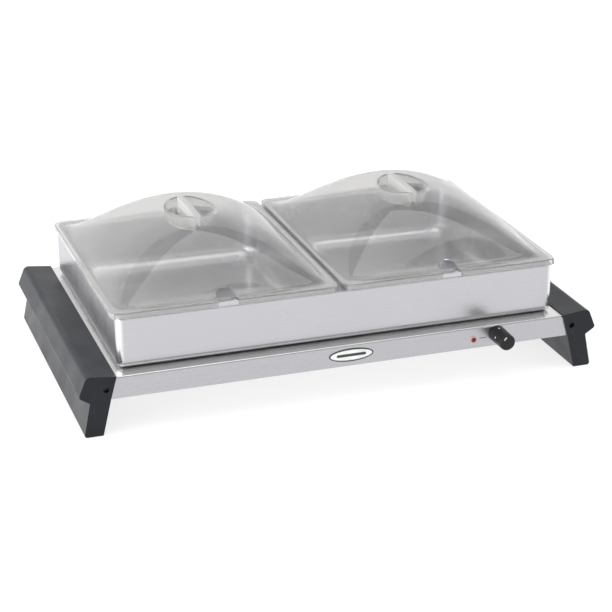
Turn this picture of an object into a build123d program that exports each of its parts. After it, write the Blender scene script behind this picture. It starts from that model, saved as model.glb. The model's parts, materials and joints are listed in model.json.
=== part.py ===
from build123d import *
import os

os.makedirs("parts", exist_ok=True)

# Electric buffet server: a heated stainless tray between two moulded end pieces, a lift-off frame on it,
# two half-size pans in the frame and a clear domed lid on each pan. Millimetres, +Z up, the front is -Y.

# ---------------------------------------------------------------- driving dimensions
SHEET = 0.8                                   # stainless sheet of the casing and the pans
TRAY_TOP = 68.0                               # height of the warming surface above the table
TRAY_LENGTH, TRAY_DEPTH, SKIRT = 558.0, 362.0, 26.0
TRAY_BEND = 2.4
TRAY_BOTTOM = TRAY_TOP - SKIRT
TRAY_FLANGE = 12.0                            # return flange along the bottom of each skirt

END_DEPTH = 366.0                             # end pieces, front to back
END_WALL = 3.0
END_TOP_OUTER = (306.0, TRAY_TOP + 5.0)
END_TIP = (315.9, TRAY_TOP - 19.2)
END_NOTCH = (303.3, TRAY_TOP - 27.1)
END_FOOT_OUTER, END_FOOT_INNER = (311.6, 0.0), (289.6, 0.0)
END_INNER = (279.3, TRAY_BOTTOM + 1.0)
END_LIP = (272.0, TRAY_TOP + 1.2)
END_RADII = [7.0, 3.6, 2.0, 3.0, 0.8, 1.5, 0.5]

FRAME_LENGTH, FRAME_DEPTH, FRAME_HEIGHT = 532.0, 328.0, 59.5
FRAME_SHEET, FRAME_CORNER, FRAME_FOOT_RADIUS = 0.9, 9.0, 8.0
FRAME_TOP = TRAY_TOP + FRAME_HEIGHT
FRAME_MOUTH = (520.6, 299.0)                  # hole in the frame's top
FRAME_FOOT_HOLE = (500.0, 296.0)

PAN_X = 135.0                                 # pan centres, either side of the middle
PAN_FLANGE = (260.6, 325.0)
PAN_MOUTH = (247.0, 295.0)
PAN_RIM_Z = TRAY_TOP + 64.9                   # top of the pan flange
PAN_LIP = PAN_RIM_Z - SHEET - FRAME_TOP       # how far the flange is turned down
PAN_DEPTH, PAN_DRAFT = 63.2, 6.0
PAN_CORNER, PAN_FLOOR_RADIUS = 24.0, 13.0
MOUTH_RADIUS = 3.0                            # bend where the flange turns down into the basin

LID_X = 136.0
LID_SIZE = (268.0, 330.0)
LID_WALL = 2.0
LID_LIP, LID_CORNER = 7.0, 10.0
LID_TOP = PAN_RIM_Z + LID_WALL                # flat rim of the lid
DOME_HEIGHT = 60.0
DOME_HALF = (124.0, 148.0)                    # where the dome meets the rim
DOME_POWER = 0.78                             # arch across the dome: (1 - u^2)^power
WELL = (26.5, 38.5)                           # half axes of the moulded finger well
WELL_FLOOR = LID_TOP + 42.0
GRIP_WEB = 9.0                                # bar left standing between the two halves of the well
NOTCH_WIDTH, NOTCH_RISE, NOTCH_REACH = 25.0, 8.0, 25.5

KNOB_X, KNOB_Z = 187.0, TRAY_TOP - 10.8
KNOB_RADIUS, KNOB_LENGTH, KNOB_GAP = 10.2, 30.5, 1.0
LAMP_X, LAMP_Z = 157.0, TRAY_TOP - 15.0
BADGE_X, BADGE_Z = 4.0, TRAY_TOP - 12.4
BADGE_HALF = (27.2, 8.0)
GLAND_X, GLAND_Z, GLAND_REACH = 200.0, TRAY_TOP - 13.0, 9.0
CORD_RADIUS = 3.6

ELEMENT_RADIUS, ELEMENT_BEND = 4.0, 22.0
RUN_GAP = 0.05                                # running clearance of anything that turns or slides

FRONT, REAR = -TRAY_DEPTH / 2, TRAY_DEPTH / 2
KNOB_NOSE = KNOB_GAP + KNOB_LENGTH            # how far the knob stands out in front
CASING_Y = (KNOB_NOSE - GLAND_REACH) / 2      # the casing's centre: puts the origin under the middle


# ---------------------------------------------------------------- sketch planes
def level(z):
    """A flat plane at height z, centred on the casing."""
    return Plane(origin=(0, CASING_Y, z))


def facing_down(z):
    """The same plane, facing down."""
    return Plane(origin=(0, CASING_Y, z), x_dir=(1, 0, 0), z_dir=(0, 0, -1))


def facing_front(y):
    """An upright plane y behind the casing's centre that faces the front: x is X and y is height."""
    return Plane(origin=(0, CASING_Y + y, 0), x_dir=(1, 0, 0), z_dir=(0, -1, 0))


def facing_rear(y):
    """An upright plane that faces the rear: x runs towards -X and y is height."""
    return Plane(origin=(0, CASING_Y + y, 0), x_dir=(-1, 0, 0), z_dir=(0, 1, 0))


def facing_side(x):
    """An upright plane that faces +X: x is Y from the casing's centre and y is height."""
    return Plane(origin=(x, CASING_Y, 0), x_dir=(0, 1, 0), z_dir=(1, 0, 0))


def save(piece, label):
    piece.part.label = label
    export_step(piece.part, f"parts/{label}.step")


# ---------------------------------------------------------------- casing: warming tray
COVER_SCREWS = [(x, y) for x in (-250, -85, 85, 250) for y in (-173.5, 173.5)]
SCREW_RADIUS = 1.45
PAN_HEAD, PAN_HEAD_HEIGHT, SCREW_LENGTH = 2.9, 1.7, 5.0
RIVET_RADIUS = 1.6
RIVET_PLACES = [-110, 0, 110]
RIVET_Z = 56.5
SHAFT_BUSH_RADIUS, LAMP_BODY_RADIUS, GLAND_RADIUS = 4.0, 3.6, 8.0
STUD_X, STUD_RADIUS = 160.0, 2.0

with BuildPart() as tray_shell:
    with BuildSketch(facing_down(TRAY_TOP)):
        Rectangle(TRAY_LENGTH, TRAY_DEPTH)
    extrude(amount=SKIRT)
    fillet(tray_shell.edges().filter_by(Axis.X).group_by(Axis.Z)[-1], TRAY_BEND)
    offset(amount=-SHEET, openings=tray_shell.faces().sort_by(Axis.Z)[0])
    with BuildSketch(level(TRAY_BOTTOM)):
        for side in (-1, 1):
            with Locations((0, side * (REAR - TRAY_FLANGE / 2))):
                Rectangle(TRAY_LENGTH, TRAY_FLANGE)
    extrude(amount=SHEET)
    with BuildSketch(level(TRAY_BOTTOM)):
        with Locations(*COVER_SCREWS):
            Circle(SCREW_RADIUS + RUN_GAP)
    extrude(amount=SHEET, mode=Mode.SUBTRACT)
    with BuildSketch(facing_front(FRONT)):
        with Locations((KNOB_X, KNOB_Z)):
            Circle(SHAFT_BUSH_RADIUS + RUN_GAP)
        with Locations((LAMP_X, LAMP_Z)):
            Circle(LAMP_BODY_RADIUS + RUN_GAP)
    extrude(amount=-SHEET, mode=Mode.SUBTRACT)
    with BuildSketch(facing_rear(REAR)):
        with Locations((-GLAND_X, GLAND_Z)):
            Circle(GLAND_RADIUS + RUN_GAP)
    extrude(amount=-SHEET, mode=Mode.SUBTRACT)
    with BuildSketch(facing_side(-TRAY_LENGTH / 2)):
        with Locations(*[(y, RIVET_Z) for y in RIVET_PLACES]):
            Circle(RIVET_RADIUS)
    extrude(amount=TRAY_LENGTH, mode=Mode.SUBTRACT)
save(tray_shell, "tray_shell")

COVER_SHEET = 0.8
COVER_SIZE = (550.0, 356.0)
VENT_LENGTH, VENT_WIDTH = 34.0, 4.0

with BuildPart() as bottom_cover:
    with BuildSketch(facing_down(TRAY_BOTTOM)):
        RectangleRounded(*COVER_SIZE, 4)
        with Locations(*COVER_SCREWS):
            Circle(SCREW_RADIUS + 0.2, mode=Mode.SUBTRACT)
        for bank_x in (-130, 130):
            for bank_y in (-156, 156):
                with Locations((bank_x, bank_y)):
                    with GridLocations(VENT_LENGTH + 8, 9, 3, 2):
                        SlotOverall(VENT_LENGTH, VENT_WIDTH, mode=Mode.SUBTRACT)
    extrude(amount=COVER_SHEET)
save(bottom_cover, "bottom_cover")

COVER_BOTTOM = TRAY_BOTTOM - COVER_SHEET

with BuildPart() as cover_screws:
    with BuildSketch(facing_down(COVER_BOTTOM)):
        with Locations(*COVER_SCREWS):
            Circle(PAN_HEAD)
    extrude(amount=PAN_HEAD_HEIGHT)
    fillet(cover_screws.edges().group_by(Axis.Z)[0], 0.8)
    with BuildSketch(level(COVER_BOTTOM)):
        with Locations(*COVER_SCREWS):
            Circle(SCREW_RADIUS)
    extrude(amount=SCREW_LENGTH)
    with BuildSketch(facing_down(COVER_BOTTOM - 0.8)):
        with Locations(*COVER_SCREWS):
            Rectangle(3.2, 0.7)
            Rectangle(0.7, 3.2)
    extrude(amount=1.0, mode=Mode.SUBTRACT)
save(cover_screws, "cover_screws")


# ---------------------------------------------------------------- end pieces
END_SCREW_X, END_SCREW_Z = 284.5, TRAY_TOP - 13.2
END_SCREW_RADIUS, END_SCREW_HEAD = 1.95, 3.1
BOSS_RADIUS, BOSS_END = 5.5, 165.2
COUNTERBORE = 6.0
RIB_PLACES = [-60, 60]
RIB = 2.4
WINDOW = (TRAY_BOTTOM + 4, TRAY_TOP - 2)      # opening of the end piece towards the tray
SEAT_REACH, SEAT_ROOM = 30.0, 1.1             # recess for the tray's end: how far in, and room past it


def end_outline(side):
    """The section of an end piece: across and up. side is -1 on the left and 1 on the right."""
    corners = [END_TOP_OUTER, END_TIP, END_NOTCH, END_FOOT_OUTER, END_FOOT_INNER, END_INNER, END_LIP]
    with BuildSketch() as outline:
        with BuildLine():
            FilletPolyline(*[(side * x, z) for x, z in corners], radius=END_RADII, close=True)
        make_face()
    return outline.sketch


def end_cells():
    """The stretches of the hollow between the end caps and the ribs, as (front, rear)."""
    caps = END_DEPTH / 2 - END_WALL
    walls = [-caps] + [edge for y in RIB_PLACES for edge in (y - RIB / 2, y + RIB / 2)] + [caps]
    return list(zip(walls[0::2], walls[1::2]))


def end_piece(side, label):
    """A moulded end: cool-touch grip above, leg below, screw bosses front and rear."""
    tray_end = side * TRAY_LENGTH / 2
    outline = end_outline(side)
    with BuildPart() as piece:
        with BuildSketch(facing_front(-END_DEPTH / 2)):
            add(outline)
        extrude(amount=-END_DEPTH)
        for front, rear in end_cells():
            with BuildSketch(facing_front(front)):
                add(outline)
                offset(amount=-END_WALL, kind=Kind.INTERSECTION)
            extrude(amount=-(rear - front), mode=Mode.SUBTRACT)
        for face, y in ((facing_front, -BOSS_END), (facing_rear, BOSS_END)):
            flip = side if face is facing_front else -side
            with BuildSketch(face(y)):
                with Locations((flip * END_SCREW_X, END_SCREW_Z)):
                    Circle(BOSS_RADIUS)
            extrude(amount=END_DEPTH / 2 - BOSS_END - 1)
            with BuildSketch(face(y)):
                with Locations((flip * END_SCREW_X, END_SCREW_Z)):
                    Circle(END_SCREW_RADIUS + 0.15)
            extrude(amount=END_DEPTH / 2 - BOSS_END, mode=Mode.SUBTRACT)
            with BuildSketch(face(y + (END_DEPTH / 2 - BOSS_END) * (-1 if y < 0 else 1))):
                with Locations((flip * END_SCREW_X, END_SCREW_Z)):
                    Circle(END_SCREW_HEAD + 0.35)
            extrude(amount=-COUNTERBORE, mode=Mode.SUBTRACT)
        with BuildSketch(level(TRAY_BOTTOM - COVER_SHEET - 0.1)):
            with Locations((tray_end - side * (SEAT_REACH - SEAT_ROOM) / 2, 0)):
                Rectangle(SEAT_REACH + SEAT_ROOM, TRAY_DEPTH + 0.2)
        extrude(amount=SKIRT + COVER_SHEET + 0.1, mode=Mode.SUBTRACT)
        with BuildSketch(level(WINDOW[0])):
            with Locations((tray_end + side * 1.6, 0)):
                Rectangle(6, 2 * (BOSS_END - 0.1))
        extrude(amount=WINDOW[1] - WINDOW[0], mode=Mode.SUBTRACT)
    save(piece, label)


end_piece(-1, "end_piece_left")
end_piece(1, "end_piece_right")

BRACKET = 1.5
TAB_OUT = 11.0


def end_bracket(side, label):
    """The steel plate riveted to the tray's end, with a tab at each end that takes an end screw."""
    wall = TRAY_LENGTH / 2
    tab = BOSS_END - 0.2
    rear_half = [(wall, tab), (wall + TAB_OUT, tab), (wall + TAB_OUT, tab - BRACKET),
                 (wall + BRACKET, tab - BRACKET)]
    plan = rear_half + [(x, -y) for x, y in reversed(rear_half)]
    with BuildPart() as bracket:
        with BuildSketch(level(WINDOW[0] + 1)):
            with BuildLine():
                Polyline(*[(side * x, y) for x, y in plan], close=True)
            make_face()
        extrude(amount=WINDOW[1] - WINDOW[0] - 2)
        with BuildSketch(facing_front(-tab)):
            with Locations((side * END_SCREW_X, END_SCREW_Z)):
                Circle(END_SCREW_RADIUS + 0.02)
        extrude(amount=-2 * tab, mode=Mode.SUBTRACT)
        with BuildSketch(facing_side(side * wall)):
            with Locations(*[(y, RIVET_Z) for y in RIVET_PLACES]):
                Circle(RIVET_RADIUS)
        extrude(amount=side * BRACKET, mode=Mode.SUBTRACT)
    save(bracket, label)


end_bracket(-1, "end_bracket_left")
end_bracket(1, "end_bracket_right")

RIVET_HEADS, RIVET_HEAD = (2.8, 2.6), 1.2     # radii inside and outside, and their thickness

with BuildPart() as bracket_rivets:
    for side in (-1, 1):
        inner = TRAY_LENGTH / 2 - SHEET
        with BuildSketch(facing_side(side * inner)):
            with Locations(*[(y, RIVET_Z) for y in RIVET_PLACES]):
                Circle(RIVET_RADIUS - 0.02)
        extrude(amount=side * (SHEET + BRACKET))
        with BuildSketch(facing_side(side * (inner - RIVET_HEAD))):
            with Locations(*[(y, RIVET_Z) for y in RIVET_PLACES]):
                Circle(RIVET_HEADS[0])
        extrude(amount=side * RIVET_HEAD)
        with BuildSketch(facing_side(side * (inner + SHEET + BRACKET))):
            with Locations(*[(y, RIVET_Z) for y in RIVET_PLACES]):
                Circle(RIVET_HEADS[1])
        extrude(amount=side * RIVET_HEAD)
save(bracket_rivets, "bracket_rivets")

END_SCREW_HEAD_HEIGHT, END_SCREW_LENGTH = 2.4, 17.0

with BuildPart() as end_screws:
    seat = END_DEPTH / 2 - COUNTERBORE
    for face, y in ((facing_front, -seat), (facing_rear, seat)):
        with BuildSketch(face(y)):
            with Locations((-END_SCREW_X, END_SCREW_Z), (END_SCREW_X, END_SCREW_Z)):
                Circle(END_SCREW_HEAD)
        extrude(amount=END_SCREW_HEAD_HEIGHT)
        with BuildSketch(face(y + (END_SCREW_HEAD_HEIGHT if y > 0 else -END_SCREW_HEAD_HEIGHT))):
            with Locations((-END_SCREW_X, END_SCREW_Z), (END_SCREW_X, END_SCREW_Z)):
                Rectangle(3.6, 0.8)
                Rectangle(0.8, 3.6)
        extrude(amount=-1.2, mode=Mode.SUBTRACT)
        with BuildSketch(face(y)):
            with Locations((-END_SCREW_X, END_SCREW_Z), (END_SCREW_X, END_SCREW_Z)):
                Circle(END_SCREW_RADIUS)
        extrude(amount=-END_SCREW_LENGTH)
save(end_screws, "end_screws")


# ---------------------------------------------------------------- heating, from the top down
PLATE_SIZE, PLATE = (500.0, 280.0), 2.5
PLATE_BOTTOM = TRAY_TOP - SHEET - PLATE
ELEMENT_Z = PLATE_BOTTOM - ELEMENT_RADIUS - RUN_GAP
PAD_SIZE = (520.0, 290.0)
PAD_TOP = 50.5
REFLECTOR = 0.6
INNER_RUN, OUTER_RUN = 40.0, 110.0            # depths of the element's long runs
ELEMENT_IN, ELEMENT_TURN, ELEMENT_OUT = 24.0, 62.0, 232.0
PIN_RADIUS, PIN = 1.6, 9.0                    # cold pins of the element

with BuildPart() as heat_plate:
    with BuildSketch(level(PLATE_BOTTOM)):
        RectangleRounded(*PLATE_SIZE, 12)
    extrude(amount=PLATE)
save(heat_plate, "heat_plate")


def heating_element(side, label):
    """A tubular element bent to a W under one pan, with a cold pin at each end."""
    route = [(ELEMENT_IN, -OUTER_RUN), (ELEMENT_OUT, -OUTER_RUN), (ELEMENT_OUT, -INNER_RUN),
             (ELEMENT_TURN, -INNER_RUN), (ELEMENT_TURN, INNER_RUN), (ELEMENT_OUT, INNER_RUN),
             (ELEMENT_OUT, OUTER_RUN), (ELEMENT_IN, OUTER_RUN)]
    with BuildPart() as element:
        with BuildLine(level(ELEMENT_Z)):
            FilletPolyline(*[(side * x, y) for x, y in route], radius=ELEMENT_BEND)
        with BuildSketch(facing_side(side * ELEMENT_IN)):
            with Locations((-OUTER_RUN, ELEMENT_Z)):
                Circle(ELEMENT_RADIUS)
        sweep()
        with BuildSketch(facing_side(side * ELEMENT_IN)):
            with Locations((-OUTER_RUN, ELEMENT_Z), (OUTER_RUN, ELEMENT_Z)):
                Circle(PIN_RADIUS)
        extrude(amount=-side * PIN)
    save(element, label)


heating_element(-1, "heating_element_left")
heating_element(1, "heating_element_right")

CLIP_THICK, CLIP_WIDTH = 1.0, 12.0
CLIP_INNER = ELEMENT_RADIUS + 0.1

with BuildPart() as element_clips:
    for clip_x in (-150, 150):
        for run in (-OUTER_RUN, -INNER_RUN, INNER_RUN, OUTER_RUN):
            with BuildSketch(facing_side(clip_x - CLIP_WIDTH / 2)):
                with Locations((run, ELEMENT_Z)):
                    Circle(CLIP_INNER + CLIP_THICK)
                with Locations((run, (ELEMENT_Z + PLATE_BOTTOM) / 2)):
                    Rectangle(2 * (CLIP_INNER + CLIP_THICK), PLATE_BOTTOM - ELEMENT_Z)
                with Locations((run, PLATE_BOTTOM - CLIP_THICK / 2)):
                    Rectangle(26, CLIP_THICK)
                with Locations((run, ELEMENT_Z)):
                    Circle(CLIP_INNER, mode=Mode.SUBTRACT)
                with Locations((run, PLATE_BOTTOM)):
                    Rectangle(2 * CLIP_INNER, 2 * (PLATE_BOTTOM - ELEMENT_Z), mode=Mode.SUBTRACT)
            extrude(amount=CLIP_WIDTH)
save(element_clips, "element_clips")

with BuildPart() as reflector:
    with BuildSketch(level(PAD_TOP)):
        RectangleRounded(*PAD_SIZE, 6)
    extrude(amount=REFLECTOR)
save(reflector, "reflector")

with BuildPart() as insulation_pad:
    with BuildSketch(level(TRAY_BOTTOM)):
        RectangleRounded(*PAD_SIZE, 6)
    extrude(amount=PAD_TOP - TRAY_BOTTOM)
save(insulation_pad, "insulation_pad")

CUTOUT_Y = 10.0
CUTOUT_FLANGE, CUTOUT_CUP, CUTOUT_TAB = 1.0, 6.5, 1.4

with BuildPart() as thermal_cutout:
    with BuildSketch(facing_down(PLATE_BOTTOM)):
        with Locations((0, CUTOUT_Y)):
            SlotOverall(30, 12)
    extrude(amount=CUTOUT_FLANGE)
    with BuildSketch(facing_down(PLATE_BOTTOM - CUTOUT_FLANGE)):
        with Locations((0, CUTOUT_Y)):
            Circle(8)
    extrude(amount=CUTOUT_CUP)
    with BuildSketch(facing_down(PLATE_BOTTOM - CUTOUT_FLANGE - CUTOUT_CUP)):
        with Locations((0, CUTOUT_Y - 4), (0, CUTOUT_Y + 4)):
            Rectangle(4.6, 0.8)
    extrude(amount=CUTOUT_TAB)
save(thermal_cutout, "thermal_cutout")


# ---------------------------------------------------------------- thermostat and its knob
SHAFT_RADIUS = 3.0
BUSH_OUT = 3.4                                # bush in front of the skirt
NUT_FLATS, NUT = 11.0, 2.2
BODY_FRONT = FRONT + SHEET
THERMOSTAT_BODY = (30.0, 17.0, 24.0)          # width, height, depth
BUSH_BORE = 12.0                              # how far the bore goes on inside the body
SPADE_ACROSS, SPADE_DOWN, SPADE = 8.0, 2.0, 4.0

with BuildPart() as thermostat_body:
    with BuildSketch(facing_rear(BODY_FRONT)):
        with Locations((-KNOB_X, KNOB_Z)):
            RectangleRounded(*THERMOSTAT_BODY[:2], 1.5)
    extrude(amount=THERMOSTAT_BODY[2])
    with BuildSketch(facing_front(BODY_FRONT)):
        with Locations((KNOB_X, KNOB_Z)):
            Circle(SHAFT_BUSH_RADIUS)
    extrude(amount=SHEET + BUSH_OUT)
    with BuildSketch(facing_front(FRONT - BUSH_OUT)):
        with Locations((KNOB_X, KNOB_Z)):
            Circle(SHAFT_RADIUS + RUN_GAP)
    extrude(amount=-(BUSH_OUT + SHEET + BUSH_BORE), mode=Mode.SUBTRACT)
    with BuildSketch(facing_rear(BODY_FRONT + THERMOSTAT_BODY[2])):
        with Locations(*[(side * SPADE_ACROSS - KNOB_X, KNOB_Z - SPADE_DOWN) for side in (-1, 1)]):
            Rectangle(0.8, 6.3)
    extrude(amount=SPADE)
save(thermostat_body, "thermostat_body")

with BuildPart() as thermostat_nut:
    with BuildSketch(facing_front(FRONT)):
        with Locations((KNOB_X, KNOB_Z)):
            RegularPolygon(NUT_FLATS / 2, 6, major_radius=False)
            Circle(SHAFT_BUSH_RADIUS + 0.02, mode=Mode.SUBTRACT)
    extrude(amount=NUT)
save(thermostat_nut, "thermostat_nut")

SHAFT_IN, SHAFT_OUT = 10.0, 21.0
FLAT = 1.6                                    # the shaft's D flat, from its centre

with BuildPart() as thermostat_shaft:
    with BuildSketch(facing_front(FRONT + SHEET + SHAFT_IN)):
        with Locations((KNOB_X, KNOB_Z)):
            Circle(SHAFT_RADIUS)
    extrude(amount=SHAFT_IN + SHEET + BUSH_OUT + 1)
    with BuildSketch(facing_front(FRONT - BUSH_OUT - 1)):
        with Locations((KNOB_X, KNOB_Z)):
            Circle(SHAFT_RADIUS)
        with Locations((KNOB_X, KNOB_Z - FLAT - 2)):
            Rectangle(8, 4, mode=Mode.SUBTRACT)
    extrude(amount=SHAFT_OUT - BUSH_OUT - 1)
save(thermostat_shaft, "thermostat_shaft")

KNOB_TAPER = 1.1                              # degrees
KNOB_BACK, KNOB_FACE = FRONT - KNOB_GAP, FRONT - KNOB_NOSE
HUB_RADIUS, POCKET_RADIUS, POCKET = 4.6, 7.4, 3.6
MARK = 0.35                                   # how deep the white marks are filled in
POINTER = (-3.1, 5.4, 51.0)                   # across, up, turn: clear of the rounded nose edge
DOTS = [(166.0, 17.0), (98.0, 9.0)]           # angle round the knob, distance from the skirt
DOT_RADIUS = 1.2


def dot_plane(angle, reach):
    """A plane on the knob's side, facing out at the given angle in the front view."""
    out = Vector(1, 0, 0).rotate(Axis.Y, -angle)
    start = Vector(KNOB_X, CASING_Y + FRONT - reach, KNOB_Z) + out * (KNOB_RADIUS + 0.4)
    return Plane(origin=start, x_dir=(0, 1, 0), z_dir=out)


with BuildPart() as knob_form:
    with BuildSketch(facing_front(KNOB_BACK)):
        with Locations((KNOB_X, KNOB_Z)):
            Circle(KNOB_RADIUS)
    extrude(amount=KNOB_LENGTH, taper=KNOB_TAPER)
    fillet(knob_form.edges().group_by(Axis.Y)[0], 1.4)

with BuildPart() as knob_marks:
    with BuildSketch(facing_front(KNOB_FACE - MARK)):
        with Locations((KNOB_X + POINTER[0], KNOB_Z + POINTER[1])):
            SlotOverall(4.8, 1.6, rotation=POINTER[2])
    extrude(amount=-2 * MARK)
    for angle, reach in DOTS:
        with BuildSketch(dot_plane(angle, reach)):
            Circle(DOT_RADIUS)
        extrude(amount=-1.4)
    add(knob_form.part, mode=Mode.INTERSECT)
save(knob_marks, "knob_marks")

with BuildPart() as knob:
    add(knob_form.part)
    with BuildSketch(facing_front(KNOB_BACK)):
        with Locations((KNOB_X, KNOB_Z)):
            Circle(POCKET_RADIUS)
    extrude(amount=POCKET, mode=Mode.SUBTRACT)
    with BuildSketch(facing_front(KNOB_BACK - POCKET)):
        with Locations((KNOB_X, KNOB_Z)):
            Circle(POCKET_RADIUS)
            Circle(HUB_RADIUS, mode=Mode.SUBTRACT)
    extrude(amount=KNOB_LENGTH - POCKET - 4, mode=Mode.SUBTRACT)
    with BuildSketch(facing_front(KNOB_BACK)):
        with Locations((KNOB_X, KNOB_Z)):
            Circle(SHAFT_RADIUS + 0.02)
        with Locations((KNOB_X, KNOB_Z - FLAT - 2.02)):
            Rectangle(8, 4, mode=Mode.SUBTRACT)
    extrude(amount=SHAFT_OUT - KNOB_GAP + 0.2, mode=Mode.SUBTRACT)
    add(knob_marks.part, mode=Mode.SUBTRACT)
save(knob, "knob")


# ---------------------------------------------------------------- indicator lamp, mark and badge
LENS_RADIUS, BEZEL_RADIUS, BEZEL = 2.8, 4.2, 1.2
LAMP_LENGTH, LAMP_PIN, LAMP_PIN_X = 24.0, 5.0, 1.6

with BuildPart() as lamp_body:
    with BuildSketch(facing_rear(FRONT)):
        with Locations((-LAMP_X, LAMP_Z)):
            Circle(LAMP_BODY_RADIUS)
    extrude(amount=LAMP_LENGTH)
    with BuildSketch(facing_rear(FRONT + LAMP_LENGTH)):
        with Locations((-LAMP_X - LAMP_PIN_X, LAMP_Z), (-LAMP_X + LAMP_PIN_X, LAMP_Z)):
            Circle(0.5)
    extrude(amount=LAMP_PIN)
save(lamp_body, "lamp_body")

with BuildPart() as lamp_bezel:
    with BuildSketch(facing_front(FRONT)):
        with Locations((LAMP_X, LAMP_Z)):
            Circle(BEZEL_RADIUS)
            Circle(LENS_RADIUS, mode=Mode.SUBTRACT)
    extrude(amount=BEZEL)
    fillet(lamp_bezel.edges().group_by(Axis.Y)[0].sort_by(SortBy.LENGTH)[-1], 0.6)
save(lamp_bezel, "lamp_bezel")

with BuildPart() as lamp_lens:
    with BuildSketch(facing_front(FRONT)):
        with Locations((LAMP_X, LAMP_Z)):
            Circle(LENS_RADIUS)
    extrude(amount=3.4)
    fillet(lamp_lens.edges().group_by(Axis.Y)[0], 2.0)
save(lamp_lens, "lamp_lens")

with BuildPart() as index_mark:
    with BuildSketch(facing_front(FRONT)):
        with Locations((LAMP_X + 12.5, LAMP_Z + 0.8)):
            SlotOverall(9.0, 0.8)
    extrude(amount=0.15)
save(index_mark, "index_mark")

BADGE, BADGE_RECESS = 0.9, 0.3                # rim thickness, and how far the plate lies below it
BADGE_BORDER = 1.6


def badge_oval(border):
    """The badge's outline, drawn in by the border, in the sketch that is open."""
    with Locations((BADGE_X, BADGE_Z)):
        Ellipse(BADGE_HALF[0] - border, BADGE_HALF[1] - border)


with BuildPart() as badge_rim:
    with BuildSketch(facing_front(FRONT)):
        badge_oval(0)
    extrude(amount=BADGE)
    fillet(badge_rim.edges().group_by(Axis.Y)[0], 0.4)
    with BuildSketch(facing_front(FRONT)):
        badge_oval(BADGE_BORDER)
    extrude(amount=BADGE, mode=Mode.SUBTRACT)
save(badge_rim, "badge_rim")

with BuildPart() as badge_plate:
    with BuildSketch(facing_front(FRONT)):
        badge_oval(BADGE_BORDER)
    extrude(amount=BADGE - BADGE_RECESS)
save(badge_plate, "badge_plate")

with BuildPart() as badge_motif:
    with BuildSketch(facing_front(FRONT - BADGE + BADGE_RECESS)):
        with Locations((BADGE_X, BADGE_Z)):
            SlotOverall(36, 3.4)
    extrude(amount=0.2)
save(badge_motif, "badge_motif")


# ---------------------------------------------------------------- supply: gland, earth, terminals, wires
GLAND_FLANGE, GLAND_INSIDE = 3.0, 10.0        # flange thickness, and how far the thread reaches in

with BuildPart() as cord_gland:
    with BuildSketch(facing_rear(REAR)):
        with Locations((-GLAND_X, GLAND_Z)):
            Circle(11)
    extrude(amount=GLAND_FLANGE)
    with BuildSketch(facing_rear(REAR + GLAND_FLANGE)):
        with Locations((-GLAND_X, GLAND_Z)):
            Circle(8.4)
    extrude(amount=GLAND_REACH - GLAND_FLANGE)
    fillet(cord_gland.edges().group_by(Axis.Y)[-1], 2.4)
    with BuildSketch(facing_front(REAR)):
        with Locations((GLAND_X, GLAND_Z)):
            Circle(GLAND_RADIUS)
    extrude(amount=GLAND_INSIDE)
    with BuildSketch(facing_front(REAR + GLAND_REACH)):
        with Locations((GLAND_X, GLAND_Z)):
            Circle(CORD_RADIUS)
    extrude(amount=GLAND_REACH + GLAND_INSIDE, mode=Mode.SUBTRACT)
save(cord_gland, "cord_gland")

with BuildPart() as gland_nut:
    with BuildSketch(facing_front(REAR - SHEET)):
        with Locations((GLAND_X, GLAND_Z)):
            RegularPolygon(10, 6, major_radius=False)
            Circle(GLAND_RADIUS + 0.02, mode=Mode.SUBTRACT)
    extrude(amount=4.5)
save(gland_nut, "gland_nut")

with BuildPart() as earth_stud:
    with BuildSketch(facing_front(REAR - SHEET)):
        with Locations((STUD_X, GLAND_Z)):
            Circle(STUD_RADIUS)
    extrude(amount=12)
save(earth_stud, "earth_stud")

with BuildPart() as earth_nut:
    with BuildSketch(facing_front(REAR - SHEET - 4)):
        with Locations((STUD_X, GLAND_Z)):
            RegularPolygon(3.5, 6, major_radius=False)
            Circle(STUD_RADIUS + 0.02, mode=Mode.SUBTRACT)
    extrude(amount=3.2)
save(earth_nut, "earth_nut")

BLOCK = (44.0, 15.0, 20.0)                    # width, height, depth
BLOCK_Z = 55.0
BLOCK_FRONT = REAR - SHEET - BLOCK[2]
POLES = [-13.0, 0.0, 13.0]
POLE_PLACES = [(x, -(BLOCK_FRONT + BLOCK[2] / 2)) for x in POLES]
SCREW_WELL_TOP = BLOCK_Z - BLOCK[1] / 2 + 6

with BuildPart() as terminal_block:
    with BuildSketch(facing_front(REAR - SHEET)):
        with Locations((0, BLOCK_Z)):
            RectangleRounded(*BLOCK[:2], 1.5)
    extrude(amount=BLOCK[2])
    with BuildSketch(facing_down(SCREW_WELL_TOP)):
        with Locations(*POLE_PLACES):
            Circle(3.0)
    extrude(amount=7, mode=Mode.SUBTRACT)
save(terminal_block, "terminal_block")

with BuildPart() as terminal_screws:
    with BuildSketch(facing_down(SCREW_WELL_TOP)):
        with Locations(*POLE_PLACES):
            Circle(2.8)
            Rectangle(4.4, 0.8, mode=Mode.SUBTRACT)
    extrude(amount=3)
    with BuildSketch(facing_down(SCREW_WELL_TOP)):
        with Locations(*POLE_PLACES):
            Circle(2.8)
    extrude(amount=1.5)
save(terminal_screws, "terminal_screws")

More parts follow.
